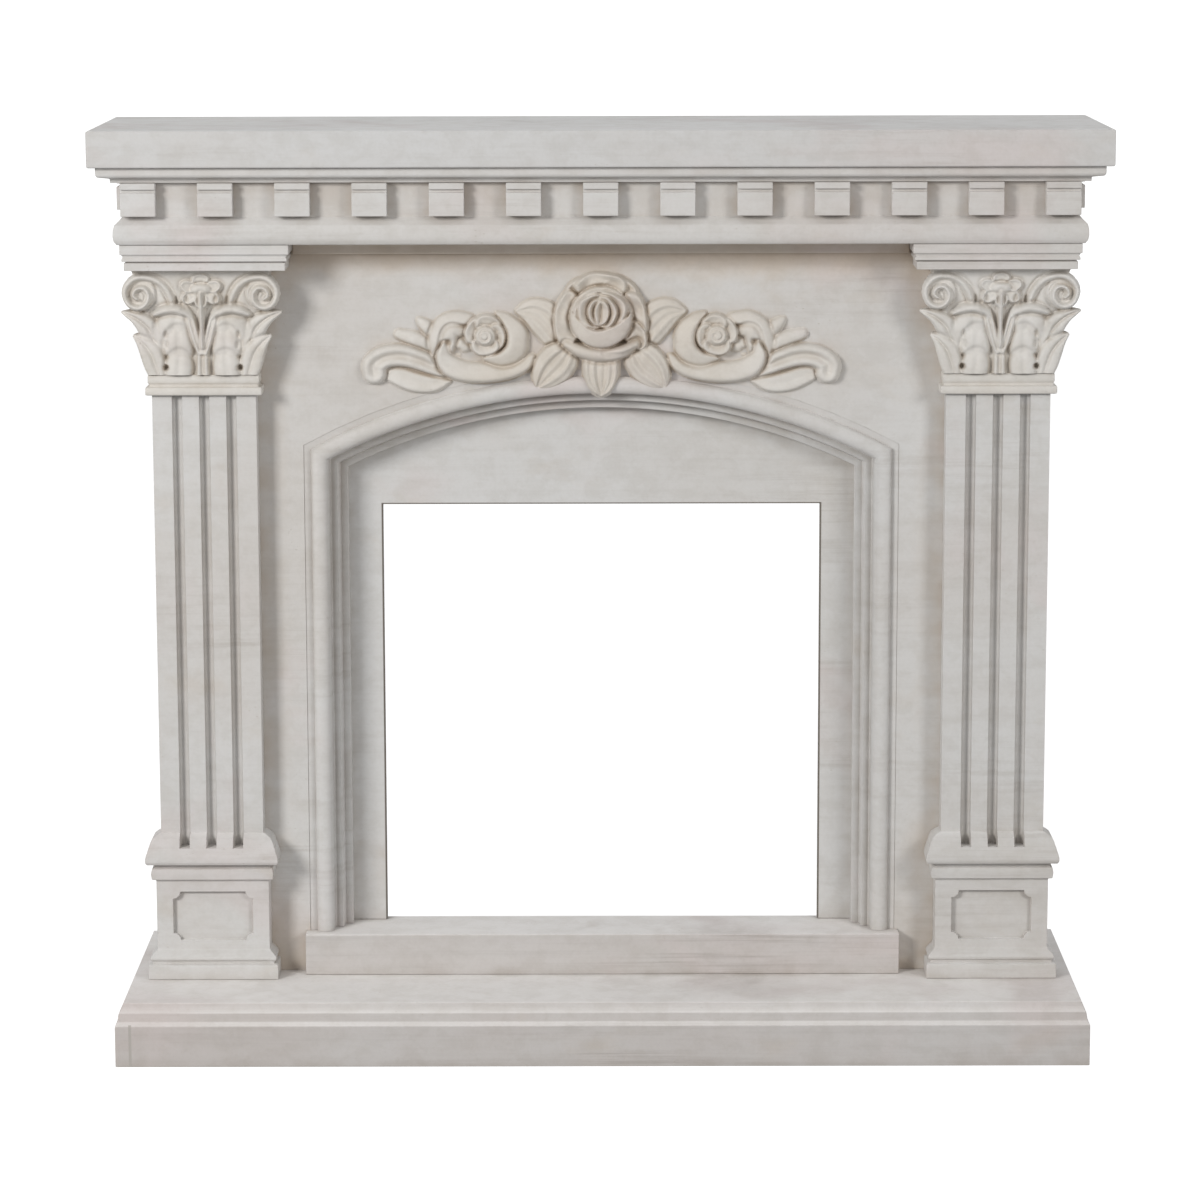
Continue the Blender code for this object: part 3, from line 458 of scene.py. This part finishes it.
def carve_rosette(r, x, z):
    """Small rosette: four soft outer petals round a coiled knot."""
    for turn, reach in ((0.5, 14), (1.9, 15), (3.3, 14), (4.7, 13)):
        r.dish((x + reach * cos(turn), z + reach * sin(turn)), (19, 14), turn + pi / 2, 11, 15, 2.4, 2.4, 0.35)
    dist = np.hypot(r.x - x, r.z - z)
    turn = np.arctan2(r.z - z, r.x - x) / (2 * pi)
    coil = (dist / 6.2 - turn) % 1.0
    rise = 15 + 4.0 * np.sqrt(np.clip(1 - (dist / 15.5) ** 2, 0, 1))
    rise = rise - 3.4 * (1 - smooth(0.0, 0.6, coil)) * smooth(1, 5, dist)
    r.lay(dist < 14.5, rise * np.sqrt(np.clip(1 - (dist / 14.5) ** 8, 0, 1)), dist - 14.5, 3.0, 2.4)


def carve_rose(r):
    """Open rose: back petals, a cup, petals nested round the heart and the front petals folded over it."""
    r.dish((-24, 34), (27, 20), 0.50, 11, 15, 2.0, 2.6, wave=0.02)
    r.dish((25, 34), (26, 20), -0.50, 11, 15, 2.0, 2.6, wave=0.02)
    r.dish((0, 42), (36, 19), 0.0, 12, 17, 2.0, 2.6, wave=0.03)
    r.dish((-43, 0), (19, 38), -0.08, 13, 17, 3.0, 2.6, wave=0.02)
    r.dish((43, 0), (18, 37), 0.10, 13, 17, 3.0, 2.6, wave=0.02)
    r.dish((44, -22), (15, 22), 0.55, 14, 18, 3.0, 2.6)
    ring, turn = np.hypot(r.x / 62, (r.z - 4) / 60), np.arctan2(r.z - 4, r.x)
    ruffle = np.cos(9 * turn + 1.6 * np.sin(2 * turn + 0.7) + 8 * ring) + 0.5 * np.cos(5 * turn - 14 * ring + 1.0)
    r.height = r.height + 1.9 * ruffle * smooth(0.62, 0.78, ring) * smooth(1.04, 0.92, ring) * (r.height > 6)
    r.stroke([(-46, -34, 6), (-26, -43, 10), (0, -47, 12), (26, -44, 10), (47, -33, 7)], [17, 21, 23, 22, 19],
             "round", 5.0, 2.6)
    r.stroke([(8, -44, 6), (28, -41, 7), (46, -34, 6)], [21, 24, 20], "round", 2.0, 2.0)
    bowl = np.hypot(r.x / 41.5, (r.z - 1.5) / 41)
    swell = 12 * np.sqrt(np.clip(1 - bowl ** 2, 0, 1))
    r.lay(bowl < 1, 17 + swell, (bowl - 1) * 41, 5.0, 2.8)
    r.dish((0, 9), (37, 30), 0.0, 23, 28, 2.0, 2.2, 0.62, wave=0.02)
    r.dish((8, 11), (27, 25), 0.1, 23, 28, 3.4, 2.3, 0.55, wave=0.02)
    r.dish((-9, 10), (23, 24), 0.12, 24, 29, 3.4, 2.3, 0.5, wave=0.03)
    r.dish((3, 9), (19, 22), 0.05, 24, 30, 4.0, 2.4, 0.4, wave=0.03)
    r.dish((-4, 9), (14, 19), 0.12, 24, 30, 3.6, 2.2, 0.4)
    r.dish((1, 9), (10.5, 17), -0.05, 26, 30, 3.4, 2.0, 0.3)
    cleft = np.exp(-((r.x + 1 - 0.05 * r.z) / 1.7) ** 2) * smooth(-10, -3, r.z) * smooth(27, 18, r.z)
    r.height = r.height - 4.5 * cleft
    below = r.z + 14 - 0.016 * r.x ** 2 - 1.5 * np.sin(r.x / 9)
    folded = (18.5 + swell + 1.2 * np.exp(-(below / 4.0) ** 2)) * np.clip((1 - bowl) / 0.05, 0, 1) ** 0.3
    folded = folded * (0.85 + 0.15 * np.clip(-below / 2.6, 0, 1) ** 0.5)
    r.lay((bowl < 1) & (below < 0), folded, np.maximum(below, 0) + 60 * (bowl > 1), 2.6, 2.4)


def rose_spray():
    """Rose with leaves, rosettes and scrolled ends, in relief on the front board."""
    x, z = np.meshgrid(np.arange(-324, 324.01, SPRAY_CELL), np.arange(-106, 70.01, SPRAY_CELL))
    leaves = Relief(np.abs(x), z)
    carve_leaves(leaves)
    r = Relief(x, z, leaves.height)
    carve_rose(r)
    height = blurred(r.height, 0.9)
    points = np.stack([x * MM, WALL_Y - FACE - GAP - height * MM, SPRAY_Z + z * MM], axis=-1)
    raised = height > 0.25
    keep = raised[:-1, :-1] | raised[:-1, 1:] | raised[1:, :-1] | raised[1:, 1:]
    piece("rose_spray_carved", patches_mesh("rose_spray", [(points, keep)]), "rose_spray", smooth=80)


def bell_half(z):
    """Half width of a capital's bell, z above the necking."""
    return np.interp(z, [0, 12, 33, 73, 103, 128, 139], [69, 70, 72.5, 75, 80, 88, 91])


def carve_capital(r):
    """Leaves, volutes, calyx and flower on one capital, over its bell."""
    r.stroke([(56, 8, 10), (59, 28, 14), (63, 46, 16), (70, 62, 15), (83, 74, 10), (95, 80, 6), (103, 83, 3)],
             [9, 12, 15, 18, 20, 18, 14], "leaf", 2.8, 2.4)
    r.stroke([(58, 0, 13), (62, 14, 16), (68, 30, 15), (78, 43, 9), (88, 51, 3.5)], [9, 12, 15, 15, 11], "leaf",
             3.0, 2.4)
    disc = np.hypot(r.x - 79.5, r.z - 108.5) - 21
    r.lay(disc < 0, np.full_like(disc, 18.0), disc, 2.4, 2.2)
    r.stroke([(33, 74, 4), (36, 88, 5), (40, 104, 6), (49, 119, 6.5), (64, 128, 6.5), (82, 129, 6.5),
              (95, 119, 6.3), (98, 106, 6), (92, 93, 5.6), (80, 89, 5.4), (70, 95, 5), (67, 106, 4.8),
              (73, 115, 4.6), (83, 114, 4.2), (87, 106, 3.8), (82, 101, 3.5)],
             [13, 16, 19, 22, 24, 25, 25, 25, 25, 25, 25, 25, 26, 27], "round", 2.8, 1.9)
    r.lobe((35, 62), (26, 27), 0.10, 14, 18)
    r.stroke([(12, 74, 4), (22, 83, 7), (36, 87, 7.5), (50, 85, 7), (61, 80, 4)], [18, 23, 24, 23, 18], "round",
             2.2, 2.2)
    r.lobe((31, 38), (20, 28), 0.05, 13.5, 16)
    r.lobe((31, 10), (18.5, 24), 0.10, 12.5, 13.5)
    r.stroke([(0, -2, 9), (0, 18, 8), (0, 34, 7.5)], [12, 13, 14], "channel", 2.8, 2.2)
    r.stroke([(3, 30, 5), (8, 48, 6.5), (12, 64, 6.5), (17, 82, 5), (22, 92, 3)], [14, 17, 18, 17, 14], "leaf",
             3.0, 2.2)


def carve_flower(r):
    """Flower on its stem at the top of a capital."""
    for place, size, turn in (
            ((-15, 103), (11, 9), 0.75), ((15, 103), (11, 9), -0.75), ((-16, 117), (11.5, 8.5), -0.25),
            ((16, 117), (11.5, 8.5), 0.25), ((0, 98), (9, 11), 0.0), ((0, 127), (12, 7), 0.0)):
        r.dish(place, size, turn, 19, 23, 2.0, 2.0)
    r.dish((0, 114), (14, 8), 0.0, 24, 21, 2.4, 2.0)
    r.stroke([(0, 36, 3.2), (0, 70, 3.6), (0, 108, 3.6)], [16, 20, 28], "round", 2.2, 1.9)
    r.height = r.height - 4.0 * smooth(1.2, 0.6, np.hypot(r.x / 11, (r.z - 121.5) / 1.9))


def drill(r):
    """Drilled eyes and the torn slots between the leaves of a capital."""
    for x, z, radius, length, depth in (
            (47.5, 9.5, 3.4, 1, 12), (47, 24, 2.2, 1, 5), (45.5, 40, 2.0, 2.6, 4), (47, 54, 1.8, 2.6, 4),
            (33, 98, 2.2, 2.6, 4), (19, 99, 2.6, 2.6, 4)):
        out = np.hypot(np.abs(r.x) - x, (r.z - z) / length)
        r.height = r.height - depth * smooth(radius + 0.8, radius - 0.8, out)


def capital_points():
    """Grid of points over the carved part of a capital, as (x from its centre, depth, height)."""
    outside = -20.0
    x, z = np.meshgrid(np.arange(-108, 108.01, CAPITAL_CELL), np.arange(0, 139.01, CAPITAL_CELL))
    bell = np.interp(z, [0, 33, 73, 103, 128, 139], [3, 4, 7, 12, 18, 21])
    corner = np.clip(1 - (bell_half(z) - np.abs(x)) / 5.0, 0, 1)
    bell = np.where(np.abs(x) < bell_half(z), bell - 4.0 * (1 - np.sqrt(1 - corner ** 2)), outside)
    half_side = Relief(np.abs(x), z, bell)
    carve_capital(half_side)
    r = Relief(x, z, half_side.height)
    carve_flower(r)
    drill(r)
    inside = r.height > outside / 2
    rise = blurred(np.maximum(r.height, outside / 3), 1.3)
    reach = np.where(inside, np.abs(x), 0).max(axis=1)
    reach = np.convolve(np.pad(reach, 1, mode="edge"), [0.25, 0.5, 0.25], "valid")
    level = z[:, 0]
    across = np.linspace(-1, 1, CAPITAL_COLUMNS)
    front = np.array([np.interp(across * (reach[k] - 1.2), x[k], rise[k]) for k in range(len(level))])
    columns = [(reach * share, SHAFT_FRONT + front[:, i] * MM) for i, share in enumerate(across)]
    back = []
    for t in np.linspace(0.08, 1, 14):
        leaf = Relief(np.full_like(level, 40 * t), level)
        leaf.stroke([(24, 0, 12), (24, 40, 13), (24, 72, 11), (24, 84, 5)], [3, 4, 5, 6], "leaf", 0.5, 1.0)
        edge = bell_half(level) + (reach - bell_half(level)) * (1 - smooth(0.0, 0.75, t)) + leaf.height
        edge = np.minimum(edge, reach)
        back.append((edge, (1 - t) * (SHAFT_FRONT + front[:, 0] * MM) + t * (FACE + GAP)))
    back.append((np.full_like(level, 45.0), np.full_like(level, FACE + GAP)))
    columns = [(-edge, depth) for edge, depth in back[::-1]] + columns + back
    points = [np.stack([edge * MM, WALL_Y - depth, BELL_BOTTOM + level * MM], axis=-1) for edge, depth in columns]
    return np.stack(points, axis=1)


def pilaster_plan(out, corner=0.0015, steps=4):
    """Plan of a pilaster, an overhang past its shaft, from back left to back right with rounded corners."""
    half, front = SHAFT_HALF + out, SHAFT_FRONT + out
    plan = [(0.03 - half, FACE + GAP), (-half, FACE + GAP)]
    for side in (-1, 1):
        for step in range(steps + 1):
            angle = pi / 2 * (step / steps if side < 0 else 1 - step / steps)
            plan.append((side * (half - corner + corner * cos(angle)), front - corner + corner * sin(angle)))
    return plan + [(half, FACE + GAP), (half - 0.03, FACE + GAP)]


def ring_points(levels):
    """Grid of points up a pilaster's levels of (height, overhang)."""
    return np.array([[(x, WALL_Y - depth, z) for x, depth in pilaster_plan(out)] for z, out in levels])


def capitals():
    """Both capitals, each with two necking bands under the carved bell."""
    profile = [(0, 6.0), (0.6, 7.4), (1.8, 8.0), (9.2, 8.0), (10.4, 7.2), (11.0, 4.2), (11.8, 3.5), (14.6, 3.5),
               (15.6, 4.2), (16.6, 4.8), (25.8, 4.8), (27.2, 3.4), (27.8, 0.5)]
    levels = [(CAPITAL_BOTTOM + rise * MM, out * MM) for rise, out in profile]
    necking, bell = ring_points(levels), capital_points()
    for side, label in ((-1, "left"), (1, "right")):
        place = np.array([side * PILASTER_X, 0, 0])
        mesh_data = patches_mesh(f"capital_{label}", [(necking + place, None), (bell + place, None)])
        piece(f"capital_{label}_carved", mesh_data, f"capital_{label}", smooth=60)


def arch_moulding():
    """Beaded frame up both jambs and over the arch."""
    inner_band, outer_band = RECESS_DEPTH + 0.021, FACE - 0.018
    bead, half, proud = 0.035, 0.0115, 0.0087
    section = [
        (0.0, RECESS_DEPTH + GAP), (0.0, inner_band - 0.0015), (0.0005, inner_band - 0.0004), (0.0015, inner_band),
        (0.0083, inner_band), (0.0094, inner_band - 0.0008), (0.0104, inner_band + 0.001),
        (0.0118, outer_band - 0.003), (0.0130, outer_band - 0.0002), (0.0145, outer_band), (0.0180, outer_band),
        (0.0198, outer_band - 0.0015), (0.0210, outer_band - 0.002), (0.0224, outer_band - 0.001),
        (bead - half, FACE - 0.0045)]
    for step in range(1, 16):
        angle = pi * step / 16
        section.append((bead - half * cos(angle), FACE - 0.001 + (proud + 0.001) * sin(angle)))
    section += [(bead + half, FACE - 0.0022), (0.0557, FACE - 0.0008)]
    columns = []
    for offset, depth in section:
        half_span, radius = ARCH_HALF + offset, ARCH_RADIUS + offset
        path = [(-half_span, STEP_TOP + GAP)]
        for step in range(ARCH_STEPS + 1):
            x = half_span * (2 * step / ARCH_STEPS - 1)
            path.append((x, ARCH_Z + sqrt(radius ** 2 - x ** 2)))
        path.append((half_span, STEP_TOP + GAP))
        columns.append([(x, WALL_Y - depth, z) for x, z in path])
    mesh_data = patches_mesh("arch_moulding", [(np.array(columns).transpose(1, 0, 2)[:, ::-1], None)])
    piece("arch_moulding_smooth", mesh_data, "arch_moulding", smooth=40)


def camera():
    """Camera at the photograph's place."""
    pitch, yaw, roll = 0.1731, -0.0008, -0.0021
    forward = Vector((sin(yaw) * cos(pitch), cos(yaw) * cos(pitch), -sin(pitch)))
    level = Vector((cos(yaw), -sin(yaw), 0.0))
    up = level.cross(forward)
    right = cos(roll) * level + sin(roll) * up
    top = cos(roll) * up - sin(roll) * level
    lens = bpy.data.cameras.new("camera")
    lens.sensor_width = 36.0
    lens.lens = 123.59
    lens.clip_end = 200.0
    made = bpy.data.objects.new("camera", lens)
    turn = Matrix((right, top, -forward)).transposed().to_4x4()
    made.matrix_world = Matrix.Translation((0.0022, -5.4265, 1.536)) @ turn
    bpy.context.scene.collection.objects.link(made)
    bpy.context.scene.camera = made


def lamp(name, place, target, size, watts, colour=(1.0, 0.985, 0.965)):
    """Soft square light aimed at a point."""
    light = bpy.data.lights.new(name, "AREA")
    light.shape = "SQUARE"
    light.size = size
    light.energy = watts
    light.color = colour
    made = bpy.data.objects.new(name, light)
    made.location = place
    made.rotation_euler = (Vector(target) - Vector(place)).to_track_quat("-Z", "Y").to_euler()
    bpy.context.scene.collection.objects.link(made)


def white_stage(name, corners, shade):
    """Matt white sheet of the studio, lit a little from behind."""
    sheet = bpy.data.meshes.new(name)
    sheet.from_pydata(corners, [], [(0, 1, 2, 3)])
    made = bpy.data.objects.new(name, sheet)
    bpy.context.scene.collection.objects.link(made)
    n = Nodes(name)
    n.link(n.mix(n.ramp(n.noise(n.place, 0.8, 2.0), 0.3, 0.7), (0.62, 0.62, 0.62), (0.60, 0.60, 0.60)),
           n.shader.inputs["Base Color"])
    n.shader.inputs["Roughness"].default_value = 0.95
    n.shader.inputs["Specular IOR Level"].default_value = 0.0
    n.shader.inputs["Emission Color"].default_value = (1.0, 1.0, 1.0, 1.0)
    n.shader.inputs["Emission Strength"].default_value = shade
    sheet.materials.append(n.material)
    made.visible_diffuse = False


def studio():
    """White floor and backdrop, soft world, a key from the front left and a weaker one from the front right."""
    scene = bpy.context.scene
    scene.view_settings.view_transform = "Standard"
    scene.view_settings.look = "None"
    low, high, side, far = -0.0005, 12, 25, 9
    white_stage("floor", [(-side, -side, low), (side, -side, low), (side, far, low), (-side, far, low)], 0.82)
    white_stage("backdrop", [(-side, far, low), (side, far, low), (side, far, high), (-side, far, high)], 0.98)
    world = bpy.data.worlds.new("studio")
    world.use_nodes = True
    world.node_tree.nodes["Background"].inputs["Color"].default_value = (1.0, 1.0, 1.0, 1.0)
    world.node_tree.nodes["Background"].inputs["Strength"].default_value = 0.34
    scene.world = world
    lamp("key_left", (-3.0, -3.4, 2.3), (0, 0, 0.65), 1.1, 122)
    lamp("key_right", (3.0, -3.4, 2.3), (0, 0, 0.65), 1.1, 56)


def dress_cad(names):
    """Finishes for the solids that stay as they are."""
    for node in names:
        body = bpy.data.objects[node]
        for slot in body.material_slots:
            slot.material = look_of(node)


camera()
studio()
PLAIN = ["shelf", "frieze", "side_panel_left", "side_panel_right", "hearth_step", "inner_panel", "panel_cornice",
         "impost_left", "impost_right", "pedestal_left", "pedestal_right", "bed_moulding", "architrave",
         "shaft_left", "shaft_right", "hearth_slab"]
PLAIN += [f"dentil_{i:02d}" for i in range(1, 14)]
PLAIN += [f"dentil_{side}_{i}" for side in ("left", "right") for i in (1, 2)]
ARRIS = 0.0011
FLUSH_JOINTS = {
    "frieze": FRIEZE_BOTTOM, "architrave": FRIEZE_BOTTOM,
    "shaft_left": PEDESTAL_TOP, "shaft_right": PEDESTAL_TOP,
    "pedestal_left": PEDESTAL_TOP, "pedestal_right": PEDESTAL_TOP}
for node in PLAIN:
    soften(node, ARRIS, crisp=FLUSH_JOINTS.get(node))
rose_spray()
capitals()
arch_moulding()
dress_cad(["face_panel"])
